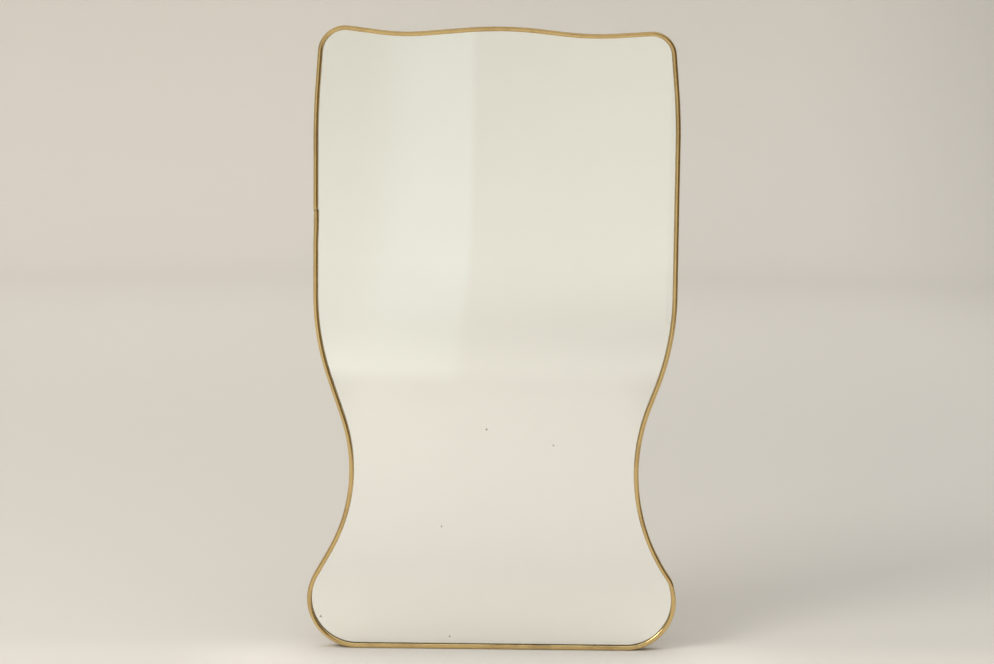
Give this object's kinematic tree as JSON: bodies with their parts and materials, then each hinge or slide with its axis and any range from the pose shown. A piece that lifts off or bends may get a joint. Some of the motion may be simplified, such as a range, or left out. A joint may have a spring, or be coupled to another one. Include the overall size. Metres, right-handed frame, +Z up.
{
  "type": "irregular wall mirror",
  "caption": "Irregular shield-shaped wall mirror: flat pane on a plywood board in a slim half-round brass strip, with swinging hanger rings behind.",
  "frame": {"origin": "middle of the bounding box in plan, at the height of the lowest edge of the brass strip", "axes": "+Z up along the mirror's height, +X to the viewer's right, -Y out of the glass towards the viewer"},
  "size_m": [0.447, 0.0256, 0.75],
  "materials": {
    "brass": "worn satin, lacquer gone dull in places",
    "brass_plain": "flat, unpolished",
    "brass_screw": "turned, slightly tarnished",
    "silvered_glass": "clear float glass, silvered behind, a few age specks",
    "plywood": "oiled birch face, layered edge",
    "lining_paper": "matt grey",
    "cork": "cut cork",
    "strap_steel": "zinc plated, dull",
    "ring_steel": "drawn wire, zinc plated",
    "screw_steel": "zinc plated",
    "felt": "pressed wool felt"
  },
  "bodies": {
    "mirror": {"brass_frame": "brass", "seam_splice": "brass_plain", "back_board": "plywood", "backing_paper": "lining_paper", "mirror_glass": "silvered_glass", "setting_block_left": "cork", "setting_block_right": "cork", "edge_shims": "cork", "hanger_strap_left": "strap_steel", "hanger_strap_right": "strap_steel", "frame_screws": "brass_screw", "hanger_screws_left": "screw_steel", "hanger_screws_right": "screw_steel", "wall_pad_left": "felt", "wall_pad_right": "felt"},
    "ring_left": {"hanger_ring_left": "ring_steel"},
    "ring_right": {"hanger_ring_right": "ring_steel"}
  },
  "joints": [
    {"name": "ring_left_swing", "type": "hinge", "parent": "mirror", "child": "ring_left", "pos_m": [-0.118, 0.00938, 0.61], "axis": [1, 0, 0], "range_deg": [0, 180]},
    {"name": "ring_right_swing", "type": "hinge", "parent": "mirror", "child": "ring_right", "pos_m": [0.118, 0.00938, 0.61], "axis": [1, 0, 0], "range_deg": [0, 180]}
  ]
}
